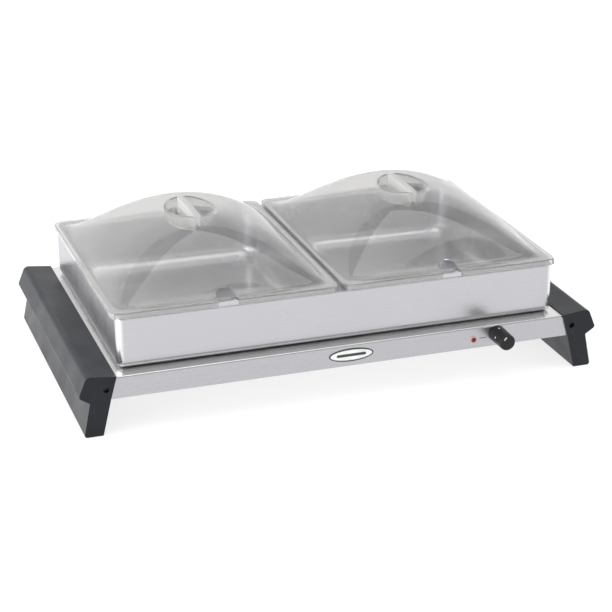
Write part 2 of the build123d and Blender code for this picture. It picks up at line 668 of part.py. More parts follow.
WIRE_RADIUS = 1.1
LOW_Z = PAD_TOP + REFLECTOR + 2.0             # wires cross between the reflector and the elements
SPADE_Y = BODY_FRONT + THERMOSTAT_BODY[2] + SPADE
SPADE_Z = KNOB_Z - SPADE_DOWN
PIN_X = ELEMENT_IN - PIN
GLAND_IN = REAR - GLAND_INSIDE
LAMP_BACK = FRONT + LAMP_LENGTH + LAMP_PIN
TAB_Z = PLATE_BOTTOM - CUTOUT_FLANGE - CUTOUT_CUP - CUTOUT_TAB - WIRE_RADIUS
LEAD_Z = LOW_Z + 0.2
LAMP_LEFT, LAMP_RIGHT = LAMP_X - LAMP_PIN_X, LAMP_X + LAMP_PIN_X
ROUTES = {
    "wire_live": [(GLAND_X - 1.6, GLAND_IN, 57), (GLAND_X - 1.6, 160, 57), (44, 160, 57), (36, 152, 57),
                  (13, 152, 57), (13, BLOCK_FRONT, 57)],
    "wire_neutral": [(GLAND_X - 1.6, GLAND_IN, 53), (GLAND_X - 1.6, 156, 53), (36, 156, 53), (28, 148, 53),
                     (0, 148, 53), (0, BLOCK_FRONT, 53)],
    "wire_to_thermostat": [(-13, BLOCK_FRONT, 53), (-13, 150, LOW_Z), (-13, -141, LEAD_Z),
                           (KNOB_X - 20, -141, LOW_Z), (KNOB_X - SPADE_ACROSS, -141, SPADE_Z),
                           (KNOB_X - SPADE_ACROSS, SPADE_Y, SPADE_Z)],
    "wire_to_cutout": [(KNOB_X + SPADE_ACROSS, SPADE_Y, SPADE_Z), (KNOB_X + SPADE_ACROSS, -134, SPADE_Z),
                       (0, -134, TAB_Z), (0, CUTOUT_Y - 4, TAB_Z)],
    "wire_to_element": [(0, CUTOUT_Y + 4, TAB_Z), (0, OUTER_RUN - 6, TAB_Z), (0, OUTER_RUN, ELEMENT_Z),
                        (PIN_X, OUTER_RUN, ELEMENT_Z)],
    "wire_element_link": [(-PIN_X, -OUTER_RUN, ELEMENT_Z), (-9, -OUTER_RUN, ELEMENT_Z),
                          (0, -OUTER_RUN - 7, ELEMENT_Z), (9, -OUTER_RUN, ELEMENT_Z),
                          (PIN_X, -OUTER_RUN, ELEMENT_Z)],
    "wire_return": [(-PIN_X, OUTER_RUN, ELEMENT_Z), (-5, OUTER_RUN, ELEMENT_Z), (-5, 135, ELEMENT_Z),
                    (0, 150, 57), (0, BLOCK_FRONT, 57)],
    "lamp_lead_live": [(LAMP_RIGHT, LAMP_BACK, LAMP_Z), (LAMP_RIGHT, -145, LAMP_Z), (166, -145, 57.4),
                       (172, -154.2, 57.4), (KNOB_X - 8.4, -154.2, 57.4)],
    "lamp_lead_neutral": [(LAMP_LEFT, LAMP_BACK, LAMP_Z), (LAMP_LEFT, -148, LAMP_Z),
                          (LAMP_LEFT, -142, 57.6), (LAMP_LEFT, -131, 57.6),
                          (LAMP_LEFT, -121, LOW_Z), (LAMP_LEFT, 131, LEAD_Z), (LAMP_LEFT, 143.5, 60.5),
                          (9, 143.5, 60.5), (2, 151, 60.5), (2, BLOCK_FRONT, 60.5)],
}
WIRE_BEND = 2.4

for name, points in ROUTES.items():
    line = [Vector(x, y + CASING_Y, z) for x, y, z in points]
    with BuildPart() as lead:
        with BuildLine():
            FilletPolyline(*line, radius=WIRE_BEND)
        with BuildSketch(Plane(origin=line[0], z_dir=line[1] - line[0])):
            Circle(WIRE_RADIUS)
        sweep()
    save(lead, name)


# ---------------------------------------------------------------- lift-off frame
with BuildPart() as pan_frame:
    with BuildSketch(level(TRAY_TOP)):
        RectangleRounded(FRAME_LENGTH, FRAME_DEPTH, FRAME_CORNER)
    extrude(amount=FRAME_HEIGHT)
    fillet(pan_frame.faces().sort_by(Axis.Z)[0].edges(), FRAME_FOOT_RADIUS)
    offset(amount=-FRAME_SHEET, openings=pan_frame.faces().sort_by(Axis.Z)[-1])
    with BuildSketch(facing_down(FRAME_TOP)):
        RectangleRounded(FRAME_LENGTH, FRAME_DEPTH, FRAME_CORNER)
    extrude(amount=FRAME_SHEET)
    fillet(pan_frame.faces().sort_by(Axis.Z)[-1].outer_wire().edges(), FRAME_SHEET)
    with BuildSketch(facing_down(FRAME_TOP)):
        RectangleRounded(*FRAME_MOUTH, 6)
    extrude(amount=FRAME_SHEET, mode=Mode.SUBTRACT)
    with BuildSketch(level(TRAY_TOP)):
        RectangleRounded(*FRAME_FOOT_HOLE, 6)
    extrude(amount=FRAME_SHEET, mode=Mode.SUBTRACT)
save(pan_frame, "pan_frame")

BAR_WIDTH, BAR_DEPTH = 16.0, 12.0
BAR_TAB = 8.0

with BuildPart() as divider_bar:
    with BuildSketch(facing_front(-FRAME_MOUTH[1] / 2 + 0.1)):
        with Locations((0, FRAME_TOP - BAR_DEPTH / 2)):
            Rectangle(BAR_WIDTH, BAR_DEPTH)
        with Locations((0, FRAME_TOP - FRAME_SHEET - BAR_DEPTH / 2)):
            Rectangle(BAR_WIDTH - 2 * FRAME_SHEET, BAR_DEPTH, mode=Mode.SUBTRACT)
    extrude(amount=-(FRAME_MOUTH[1] - 0.2))
    with BuildSketch(facing_down(FRAME_TOP - FRAME_SHEET)):
        for side in (-1, 1):
            with Locations((0, side * (FRAME_MOUTH[1] / 2))):
                Rectangle(BAR_WIDTH, 2 * BAR_TAB)
    extrude(amount=FRAME_SHEET)
save(divider_bar, "divider_bar")


# ---------------------------------------------------------------- pans and lids
def basin(centre_x, wall):
    """The closed body of a drafted basin: its inside, or its outside when wall is added."""
    mouth = [side + 2 * wall for side in PAN_MOUTH]
    with BuildPart() as body:
        with BuildSketch(facing_down(PAN_RIM_Z)):
            with Locations((centre_x, 0)):
                RectangleRounded(*mouth, PAN_CORNER)
        extrude(amount=PAN_DEPTH - SHEET + wall, taper=PAN_DRAFT)
        fillet(body.faces().sort_by(Axis.Z)[0].edges(), PAN_FLOOR_RADIUS)
    return body.part


def pan(centre_x, label):
    """A half-size pan: drafted basin, wide flange, turned-down edge that sits on the frame."""
    outside, inside = basin(centre_x, SHEET), basin(centre_x, 0)
    with BuildPart() as piece:
        with BuildSketch(facing_down(PAN_RIM_Z)):
            with Locations((centre_x, 0)):
                RectangleRounded(*PAN_FLANGE, PAN_CORNER / 2)
        extrude(amount=SHEET + PAN_LIP)
        fillet(piece.faces().sort_by(Axis.Z)[-1].edges(), SHEET)
        with BuildSketch(facing_down(PAN_RIM_Z - SHEET)):
            with Locations((centre_x, 0)):
                RectangleRounded(*[side - 2 * SHEET for side in PAN_FLANGE], PAN_CORNER / 2 - SHEET)
        extrude(amount=PAN_LIP, mode=Mode.SUBTRACT)
        add(outside)
        under = piece.faces().filter_by(GeomType.PLANE).filter_by(lambda f: f.normal_at().Z < -0.9)
        flange_under = under.sort_by(Axis.Z)[-1]
        fillet(flange_under.inner_wires()[0].edges(), MOUTH_RADIUS - SHEET)
        add(inside, mode=Mode.SUBTRACT)
        fillet(piece.faces().sort_by(Axis.Z)[-1].inner_wires()[0].edges(), MOUTH_RADIUS)
    save(piece, label)


def dome(centre_x, half, height, foot):
    """The closed body under a domed surface: arches across, stood one behind another."""
    behind = [0.14, 0.36, 0.56, 0.74, 0.88, 0.96, 0.995]
    beside = [0.25, 0.5, 0.7, 0.85, 0.94, 0.985, 1]
    stations = [-v for v in reversed(behind)] + behind
    across = [-u for u in reversed(beside)] + [0] + beside
    with BuildPart() as body:
        for v in stations:
            rise = height * (1 - abs(v) ** 3)
            with BuildSketch(facing_front(v * half[1])):
                with BuildLine():
                    arch = Spline(*[(centre_x + u * half[0], LID_TOP + rise * (1 - u * u) ** DOME_POWER)
                                    for u in across])
                    Polyline(arch @ 1, (centre_x + half[0], foot), (centre_x - half[0], foot), arch @ 0)
                make_face()
        loft()
    return body.part


def lid(centre_x, label):
    """A clear domed lid: turned-down lip, split finger well with a grip bar, spoon notch in front."""
    outer = dome(centre_x, DOME_HALF, DOME_HEIGHT, LID_TOP - LID_WALL / 2)
    inner_half = [h - LID_WALL for h in DOME_HALF]
    inner = dome(centre_x, inner_half, DOME_HEIGHT - LID_WALL, LID_TOP - LID_WALL - 1)
    with BuildPart() as well:
        with BuildSketch(level(WELL_FLOOR - LID_WALL)):
            with Locations((centre_x, 0)):
                Ellipse(WELL[0] + LID_WALL, WELL[1] + LID_WALL)
        extrude(amount=DOME_HEIGHT)
        add(outer, mode=Mode.INTERSECT)
    with BuildPart() as piece:
        with BuildSketch(facing_down(LID_TOP)):
            with Locations((centre_x, 0)):
                RectangleRounded(*LID_SIZE, LID_CORNER)
        extrude(amount=LID_LIP)
        fillet(piece.faces().sort_by(Axis.Z)[-1].edges(), 1.8)
        with BuildSketch(facing_down(LID_TOP - LID_WALL)):
            with Locations((centre_x, 0)):
                RectangleRounded(*[side - 2 * LID_WALL for side in LID_SIZE], LID_CORNER - LID_WALL)
        extrude(amount=LID_LIP - LID_WALL, mode=Mode.SUBTRACT)
        add(outer)
        add(inner, mode=Mode.SUBTRACT)
        add(well.part)
        with BuildSketch(level(WELL_FLOOR)):
            with Locations((centre_x, 0)):
                Ellipse(*WELL)
                Rectangle(GRIP_WEB, 3 * WELL[1], mode=Mode.SUBTRACT)
        extrude(amount=DOME_HEIGHT, mode=Mode.SUBTRACT)
        with BuildSketch(level(WELL_FLOOR - LID_WALL)):
            with Locations((centre_x, 0)):
                Rectangle(GRIP_WEB - 2 * LID_WALL, 1.5 * WELL[1])
        extrude(amount=DOME_HEIGHT + LID_TOP - WELL_FLOOR - LID_WALL, mode=Mode.SUBTRACT)
        with BuildSketch(facing_front(-LID_SIZE[1] / 2 - 1)):
            with Locations((centre_x, LID_TOP + NOTCH_RISE - NOTCH_WIDTH / 2)):
                Circle(NOTCH_WIDTH / 2)
            with Locations((centre_x, LID_TOP - LID_LIP)):
                Rectangle(NOTCH_WIDTH, 2 * (NOTCH_RISE + LID_LIP) - NOTCH_WIDTH)
        extrude(amount=-NOTCH_REACH - 1, mode=Mode.SUBTRACT)
    save(piece, label)


for side, name in ((-1, "left"), (1, "right")):
    pan(side * PAN_X, f"pan_{name}")
    lid(side * LID_X, f"lid_{name}")
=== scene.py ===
import json
import math

import bmesh
import bpy
from mathutils import Matrix, Vector


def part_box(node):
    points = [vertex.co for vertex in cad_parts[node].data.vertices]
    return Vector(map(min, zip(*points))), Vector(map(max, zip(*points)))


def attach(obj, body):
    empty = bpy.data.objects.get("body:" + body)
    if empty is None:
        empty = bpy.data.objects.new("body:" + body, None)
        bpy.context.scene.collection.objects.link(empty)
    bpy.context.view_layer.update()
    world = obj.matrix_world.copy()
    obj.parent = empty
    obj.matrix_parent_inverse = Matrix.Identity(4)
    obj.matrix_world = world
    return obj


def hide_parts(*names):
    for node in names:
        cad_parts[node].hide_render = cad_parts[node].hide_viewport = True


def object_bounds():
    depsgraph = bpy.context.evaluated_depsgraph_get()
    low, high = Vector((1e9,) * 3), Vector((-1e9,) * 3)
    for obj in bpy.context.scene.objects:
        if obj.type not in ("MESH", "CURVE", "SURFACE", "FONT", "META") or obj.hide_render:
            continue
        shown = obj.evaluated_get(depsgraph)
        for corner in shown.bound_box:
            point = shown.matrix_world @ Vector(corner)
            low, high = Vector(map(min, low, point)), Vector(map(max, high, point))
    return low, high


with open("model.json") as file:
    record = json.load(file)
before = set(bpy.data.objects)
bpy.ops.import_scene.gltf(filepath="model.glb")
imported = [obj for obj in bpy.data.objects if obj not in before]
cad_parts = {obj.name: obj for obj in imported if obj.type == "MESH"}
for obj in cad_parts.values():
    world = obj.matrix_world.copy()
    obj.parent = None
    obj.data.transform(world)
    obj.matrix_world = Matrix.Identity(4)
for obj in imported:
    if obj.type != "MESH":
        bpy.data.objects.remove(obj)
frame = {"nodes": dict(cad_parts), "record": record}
cad_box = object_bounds()
NODES = frame["nodes"]

MM = 0.001
REAR = Vector(cad_box[1]).y

# ---------------------------------------------------------------- sizes of the clear lids
LID_WALL, LID_GAP = 2.0 * MM, 0.2 * MM          # the gap keeps the lid's underside off the pan's flange
LID_CORNER, LID_LIP, LID_EDGE = 10 * MM, 7 * MM, 1.8 * MM
DOME_RISE, DOME_HALF, DOME_POWER = 60 * MM, (124 * MM, 148 * MM), 0.78
DOME_CORNER, SOFTEN = 6 * MM, 2.5 * MM          # corner of the dome's foot, and how far its foot is rounded
WELL_HALF, WELL_DEEP = (27.3 * MM, 39.3 * MM), 18 * MM
BAR_HALF = 3.7 * MM                             # half the width of the grip bar across the well
NOTCH_WIDTH, NOTCH_RISE, NOTCH_REACH = 25 * MM, 8 * MM, 25.5 * MM
NOTCH_PAST = 2 * MM                             # how far the notch's cutter stands out in front
LEAST_EDGE = 0.2 * MM                           # rounding left on the inner skin's rim

# The finger well's wall, from the top down, in millimetres inward
WELL_EDGE = [(0.24, 0.07), (0.57, 0.33), (0.77, 0.7), (0.85, 1.2)]      # and millimetres below the top
WELL_SIDE = [(1.0, 0.33), (1.2, 0.67), (1.4, 1.0)]                      # and share of the way to its foot
WELL_FOOT = [(2.1, 0.75), (3.9, 0.0)]                                   # and millimetres above the floor
WELL_FOOT_TOP = 2.5 * MM
FLOOR_RINGS = (0.66, 0.33)                      # the well floor's rings, as shares of its outline

# Rows and columns of the lid's mesh
SIDE_STEPS, BAR_STEPS = (14, 44, 14), 6         # round one side of the well, and across the end of the bar
DOME_ROWS, DOME_CROWDING = 42, 1.7              # the power that crowds the rows towards the dome's foot
BAR_ROWS, ARCH_STEPS = 24, 24
RIM_ROWS, LIP_ROWS = (0.3, 0.6, 1.0), (0.5, 1.0)        # shares of the way across the rim, and down the lip
EDGE_TURNS = (22.5, 45, 67.5, 90)               # degrees round the rim's rounded edge
SHARP_ANGLE = math.radians(38)

LID_LOW, LID_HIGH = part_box("lid_right")
LID_MIDDLE = (LID_LOW + LID_HIGH) / 2
WELL_FLOOR = LID_LOW.z + LID_LIP + DOME_RISE - WELL_DEEP


# ---------------------------------------------------------------- node material tools
class Paint:
    """A material and the few node calls that the finishes below are built from."""

    def __init__(self, name):
        self.material = bpy.data.materials.new(name)
        self.material.use_nodes = True
        self.tree = self.material.node_tree
        self.shader = self.tree.nodes["Principled BSDF"]
        self.out = self.tree.nodes["Material Output"]
        places = self.add("ShaderNodeTexCoord").outputs
        self.where, self.facing = places["Object"], places["Normal"]

    def add(self, kind, **settings):
        node = self.tree.nodes.new(kind)
        for key, value in settings.items():
            setattr(node, key, value)
        return node

    def feed(self, socket, value):
        if isinstance(value, bpy.types.NodeSocket):
            self.tree.links.new(value, socket)
        else:
            socket.default_value = value

    def set(self, **values):
        """Feeds the shader's inputs, each named with _ for a space."""
        for key, value in values.items():
            self.feed(self.shader.inputs[key.replace("_", " ")], value)

    def noise(self, scale, stretch, detail, rough):
        move = self.add("ShaderNodeMapping")
        self.feed(move.inputs["Vector"], self.where)
        move.inputs["Scale"].default_value = stretch
        node = self.add("ShaderNodeTexNoise")
        self.feed(node.inputs["Vector"], move.outputs["Vector"])
        node.inputs["Scale"].default_value = scale
        node.inputs["Detail"].default_value = detail
        node.inputs["Roughness"].default_value = rough
        return node.outputs["Fac"]

    def span(self, value, low, high, start=0.3, stop=0.7):
        """A value from start to stop, spread from low to high."""
        node = self.add("ShaderNodeMapRange")
        self.feed(node.inputs["Value"], value)
        for key, number in (("From Min", start), ("From Max", stop), ("To Min", low), ("To Max", high)):
            node.inputs[key].default_value = number
        return node.outputs["Result"]

    def blend(self, factor, first, second):
        node = self.add("ShaderNodeMix", data_type="RGBA")
        self.feed(node.inputs["Factor"], factor)
        self.feed(node.inputs["A"], first)
        self.feed(node.inputs["B"], second)
        return node.outputs["Result"]

    def math(self, operation, first, second=0.0):
        node = self.add("ShaderNodeMath", operation=operation)
        self.feed(node.inputs[0], first)
        self.feed(node.inputs[1], second)
        return node.outputs[0]

    def split(self, vector):
        """The X, Y and Z of a vector."""
        node = self.add("ShaderNodeSeparateXYZ")
        self.feed(node.inputs[0], vector)
        return node.outputs

    def mixed(self, factor, first, second):
        """A shader between two others."""
        node = self.add("ShaderNodeMixShader")
        for socket, value in zip(node.inputs, (factor, first, second)):
            self.feed(socket, value)
        return node.outputs[0]

    def bump(self, height, distance, strength):
        node = self.add("ShaderNodeBump")
        self.feed(node.inputs["Height"], height)
        node.inputs["Distance"].default_value = distance
        node.inputs["Strength"].default_value = strength
        return node.outputs["Normal"]


EVEN = (1, 1, 1)                                # no tint, or no stretch
# brushed steel's tint, and the tint of the painted light on the steel's faces that look up
STEEL_TINT, TOP_LIGHT_TINT = (0.985, 0.985, 1.03), (1.0, 0.99, 0.97)
# the colour level of the painted highlight on steel's rounded upright corners
CORNER_HIGHLIGHT_TONE = 0.90


def tone(level, tint=EVEN):
    return tuple(level * c for c in tint) + (1,)


def brushed_metal(name, grain, level, rough, depth=2e-5, polish_and_highlight=0.0, painted_top_light=0.0):
    """Brushed stainless: fine lines along the axis whose stretch is small, soft cloudy wear.
    The corner setting smooths the rounded upright corners, as polishing does, and paints a highlight on
    them with a lighter colour.
    The top setting is a painted lighter level for the faces that look up, standing in for the light that
    falls on them."""
    paint = Paint(name)
    lines = paint.noise(1500, grain, 4, 0.6)
    dirt = paint.span(paint.noise(14, EVEN, 3, 0.5), -0.03, 0.04)
    streaks = paint.span(lines, 0, 1)
    shade = paint.blend(streaks, tone(level * 0.965, STEEL_TINT), tone(level * 1.03, STEEL_TINT))
    roughness = paint.math("ADD", paint.span(lines, rough - 0.04, rough + 0.05), dirt)
    # painted light: faces that look up get a lighter colour, standing in for the light that falls on them
    if painted_top_light:
        bright = paint.blend(streaks, tone(painted_top_light * 0.94, TOP_LIGHT_TINT), tone(painted_top_light * 1.06, TOP_LIGHT_TINT))
        shade = paint.blend(paint.span(paint.split(paint.facing)["Z"], 0, 1, 0.7, 0.98), shade, bright)
    # painted highlight on the rounded upright corners as a lighter colour; their lower roughness is real
    # polish
    if polish_and_highlight:
        facing = paint.split(paint.facing)
        diagonal = paint.math("ABSOLUTE", paint.math("MULTIPLY", facing["X"], facing["Y"]))
        corner = paint.span(diagonal, 0, polish_and_highlight, 0.12, 0.45)
        shade = paint.blend(corner, shade, tone(CORNER_HIGHLIGHT_TONE))
        roughness = paint.math("SUBTRACT", roughness, paint.math("MULTIPLY", corner, 0.12))
    paint.set(Metallic=1.0, Base_Color=shade, Anisotropic=0.35, Roughness=roughness)
    paint.set(Normal=paint.bump(lines, depth, 0.4))
    return paint.material


def moulded(name, level, rough, tint=EVEN, gloss=0.5):
    """Moulded plastic: a fine pebbled skin, cloudy gloss and a few lighter rubbed patches."""
    paint = Paint(name)
    pebble = paint.noise(1400, EVEN, 2, 0.6)
    cloud = paint.noise(22, EVEN, 3, 0.5)
    rubbed = paint.noise(48, (1, 0.5, 1), 5, 0.65)
    colour = paint.blend(paint.span(cloud, 0, 1), tone(level * 0.75, tint), tone(level * 1.25, tint))
    colour = paint.blend(paint.span(rubbed, 0, 0.55, 0.55, 0.8), colour, tone(level * 3.2, tint))
    paint.set(Base_Color=colour, Roughness=paint.span(cloud, rough - 0.06, rough + 0.10))
    paint.set(Normal=paint.bump(pebble, 5e-5, 0.35), IOR=1.5, Specular_IOR_Level=gloss)
    return paint.material


def plain_metal(name, colour, rough):
    """Plated, cast or turned metal with a fine even grain."""
    paint = Paint(name)
    grain = paint.noise(300, EVEN, 3, 0.6)
    shade = paint.blend(paint.span(grain, 0, 1), tone(0.85, colour), tone(1, colour))
    paint.set(Metallic=1.0, Base_Color=shade)
    paint.set(Roughness=paint.span(grain, rough - 0.08, rough + 0.1))
    paint.set(Normal=paint.bump(grain, 3e-5, 0.4))
    return paint.material


LID_TINT, LID_IOR, LID_HAZE = (0.825, 0.82, 0.81), 1.36, 0.10
LID_MILK, LID_SHADOW = (0.56, 0.56, 0.55, 1), (0.93, 0.935, 0.94, 1)
FROST_HALF, FROST_RISE, FROST_HAZE = (4.9 * MM, 39 * MM), 0.6 * MM, 0.42


def clear_plastic(name):
    """Clear moulded polycarbonate: refracts, a faint milky haze, fine smears and rubbing marks, a frosted
    grip bar, and a light shadow."""
    paint = Paint(name)
    smear = paint.noise(9, EVEN, 4, 0.55)
    rubbed = paint.noise(420, (0.12, 1, 1), 3, 0.6)
    ripple = paint.noise(16, EVEN, 1, 0.4)
    rough = paint.math("ADD", paint.span(smear, 0.02, 0.09), paint.span(rubbed, 0.0, 0.04, 0.5, 0.75))
    paint.set(Base_Color=tone(1, LID_TINT), Roughness=rough, IOR=LID_IOR, Transmission_Weight=1.0)
    paint.set(Normal=paint.bump(ripple, 4e-4, 0.25))
    place = paint.split(paint.where)
    across = paint.math("SUBTRACT", paint.math("ABSOLUTE", place["X"]), LID_MIDDLE.x)
    along = paint.math("SUBTRACT", place["Y"], LID_MIDDLE.y)
    frosted = paint.math("GREATER_THAN", place["Z"], WELL_FLOOR + FROST_RISE)
    for offset, limit in zip((across, along), FROST_HALF):
        within = paint.math("LESS_THAN", paint.math("ABSOLUTE", offset), limit)
        frosted = paint.math("MULTIPLY", frosted, within)
    haze = paint.span(smear, LID_HAZE * 0.75, LID_HAZE * 1.25)
    haze = paint.math("MAXIMUM", haze, paint.math("MULTIPLY", frosted, FROST_HAZE))
    milk = paint.add("ShaderNodeBsdfDiffuse")
    milk.inputs["Color"].default_value = LID_MILK
    milky = paint.mixed(haze, paint.shader.outputs[0], milk.outputs[0])
    open_air = paint.add("ShaderNodeBsdfTransparent")
    open_air.inputs["Color"].default_value = LID_SHADOW
    shadow = paint.add("ShaderNodeLightPath").outputs["Is Shadow Ray"]
    paint.feed(paint.out.inputs["Surface"], paint.mixed(shadow, milky, open_air.outputs[0]))
    return paint.material


def coloured_plastic(name, colour, rough):
    """Smooth plastic, enamel or print, a little cloudy in tone and gloss."""
    paint = Paint(name)
    cloud = paint.noise(60, EVEN, 3, 0.5)
    paint.set(Base_Color=paint.blend(paint.span(cloud, 0, 1), tone(0.88, colour), tone(1, colour)))
    paint.set(Roughness=paint.span(cloud, rough - 0.05, rough + 0.08))
    return paint.material


def felted(name):
    """Matted pale fibre."""
    paint = Paint(name)
    fibre = paint.noise(260, (1, 1, 3), 6, 0.7)
    shade = paint.blend(fibre, tone(0.6, (1, 1, 0.95)), tone(0.9, (1, 1, 0.97)))
    paint.set(Base_Color=shade, Roughness=0.95)
    paint.set(Normal=paint.bump(fibre, 8e-4, 0.8))
    return paint.material


ALONG_X = (0.012, 1, 1)
FINISHES = {
    # the casing steel's faces that look up get painted light
    "casing_steel": brushed_metal("casing_steel", ALONG_X, 0.48, 0.29, painted_top_light=0.74),
    # the frame steel's rounded upright corners get a painted highlight and real polish
    "frame_steel": brushed_metal("frame_steel", ALONG_X, 0.54, 0.30, polish_and_highlight=0.8),
    "pan_steel": brushed_metal("pan_steel", (0.25, 1, 1), 0.56, 0.22, 5e-6),
    "plain_steel": brushed_metal("plain_steel", (1, 0.02, 1), 0.50, 0.36),
    "plated_steel": plain_metal("plated_steel", (0.58, 0.58, 0.55), 0.33),
    "plate_aluminium": plain_metal("plate_aluminium", (0.75, 0.75, 0.76), 0.4),
    "element_sheath": plain_metal("element_sheath", (0.26, 0.24, 0.22), 0.5),
    "clear_lid": clear_plastic("clear_lid"),
    "black_moulding": moulded("black_moulding", 0.009, 0.34, (0.85, 1.0, 1.45), gloss=0.30),
    "knob_black": moulded("knob_black", 0.007, 0.32, gloss=0.32),
    "lamp_black": moulded("lamp_black", 0.02, 0.35),
    "white_marks": coloured_plastic("white_marks", (0.62, 0.62, 0.61), 0.4),
    "dark_print": coloured_plastic("dark_print", (0.08, 0.08, 0.08), 0.5),
    "red_lens": coloured_plastic("red_lens", (0.07, 0.005, 0.012), 0.22),
    "badge_green": coloured_plastic("badge_green", (0.030, 0.055, 0.050), 0.2),
    "badge_white": coloured_plastic("badge_white", (0.86, 0.86, 0.84), 0.25),
    "ceramic_wool": felted("ceramic_wool"),
    "brown_plastic": moulded("brown_plastic", 0.05, 0.4, (1.3, 0.8, 0.5)),
    "white_plastic": coloured_plastic("white_plastic", (0.8, 0.78, 0.72), 0.45),
    "brass_parts": plain_metal("brass_parts", (0.72, 0.52, 0.22), 0.3),
    "black_screws": plain_metal("black_screws", (0.05, 0.05, 0.06), 0.30),
    "lamp_flange": coloured_plastic("lamp_flange", (0.74, 0.34, 0.35), 0.25),
    "wire_cover": coloured_plastic("wire_cover", (0.72, 0.70, 0.64), 0.7),
}

for entry in frame["record"]["subparts"]:
    skin = NODES[entry["node"]].data.materials
    skin.clear()
    skin.append(FINISHES[entry["material_slot"]])


# ---------------------------------------------------------------- clear lids
def dome_rise(x, y, wall):
    """The dome's height above the rim: an arch across that falls away to the front and rear."""
    u, v = abs(x) / (DOME_HALF[0] - wall), abs(y) / (DOME_HALF[1] - wall)
    return DOME_RISE * (1 - v ** 3) * (1 - u * u) ** DOME_POWER if u < 1 and v < 1 else 0.0


def soft_rise(x, y, wall):
    """The dome's height with its foot and ridges rounded off."""
    steps = (-SOFTEN, 0.0, SOFTEN)
    return sum(dome_rise(x + i, y + j, wall) for i in steps for j in steps) / 9


def spread(stops, counts):
    """Values from stop to stop, each gap cut into its own number of even steps, last stop left out."""
    return [a + (b - a) * i / n for a, b, n in zip(stops, stops[1:], counts) for i in range(n)]


def on_rectangle(angle, half, corner):
    """The point at this angle on a rounded rectangle, with the corners at 45 degrees."""
    c, s = math.cos(angle), math.sin(angle)
    x, y = half[0] * c / max(abs(c), abs(s)), half[1] * s / max(abs(c), abs(s))
    inner = [max(-h + corner, min(h - corner, p)) for h, p in zip(half, (x, y))]
    out = Vector((x - inner[0], y - inner[1])).normalized() * corner
    return inner[0] + out.x, inner[1] + out.y


def between(first, second, share):
    """The points a share of the way from one outline to another."""
    return [(a[0] + (b[0] - a[0]) * share, a[1] + (b[1] - a[1]) * share) for a, b in zip(first, second)]


def stitch(mesh, first, second, closed=True):
    """Faces between two rows of as many vertices."""
    count = len(first)
    for i in range(count if closed else count - 1):
        j = (i + 1) % count
        mesh.faces.new((first[i], first[j], second[j], second[i]))


def well_heights(top, floor):
    """The heights of the rows of the well's wall, under a point of its edge at this height."""
    under_edge, foot = top - WELL_EDGE[-1][1] * MM, floor + WELL_FOOT_TOP
    heights = [top - drop * MM for _, drop in WELL_EDGE]
    heights += [under_edge + (foot - under_edge) * share for _, share in WELL_SIDE]
    return heights + [floor + up * MM for _, up in WELL_FOOT]


def inward_normals(outline, middle):
    """At each corner of a closed flat outline, the direction towards its inside."""
    normals = []
    for before, here, after in zip(outline[-1:] + outline, outline, outline[1:] + outline[:1]):
        way = ((here - before).normalized() + (after - here).normalized()).normalized()
        normal = Vector((-way.y, way.x))
        normals.append(normal if normal.dot(middle - here) > 0 else -normal)
    return normals


def pocket(mesh, edge, floor):
    """One half of the finger well: rounded top edge, drafted wall, rounded floor."""
    flat = [Vector((v.co.x, v.co.y)) for v in edge]
    count = len(flat)
    middle = sum(flat, Vector((0, 0))) / count
    inward = inward_normals(flat, middle)
    heights = [well_heights(v.co.z, floor) for v in edge]
    last = edge
    for step, (inset, _) in enumerate(WELL_EDGE + WELL_SIDE + WELL_FOOT):
        row = []
        for here, way, levels in zip(flat, inward, heights):
            row.append(mesh.verts.new((*(here + way * (inset * MM)), levels[step])))
        stitch(mesh, last, row)
        last = row
    for share in FLOOR_RINGS:
        row = [mesh.verts.new((*(middle + (Vector(v.co[:2]) - middle) * share), floor)) for v in last]
        stitch(mesh, last, row)
        last = row
    hub = mesh.verts.new((middle.x, middle.y, floor))
    for i in range(count):
        mesh.faces.new((last[i], last[(i + 1) % count], hub))


def lid_angles(cut):
    """The angles round a skin. The ends of the grip bar's edges are at cut, pi - cut and half a turn on."""
    right = spread((-cut, -math.pi / 4, math.pi / 4, cut), SIDE_STEPS)
    angles = right + spread((cut, math.pi - cut), (BAR_STEPS,))
    return angles + [a + math.pi for a in right] + spread((math.pi + cut, 2 * math.pi - cut), (BAR_STEPS,))


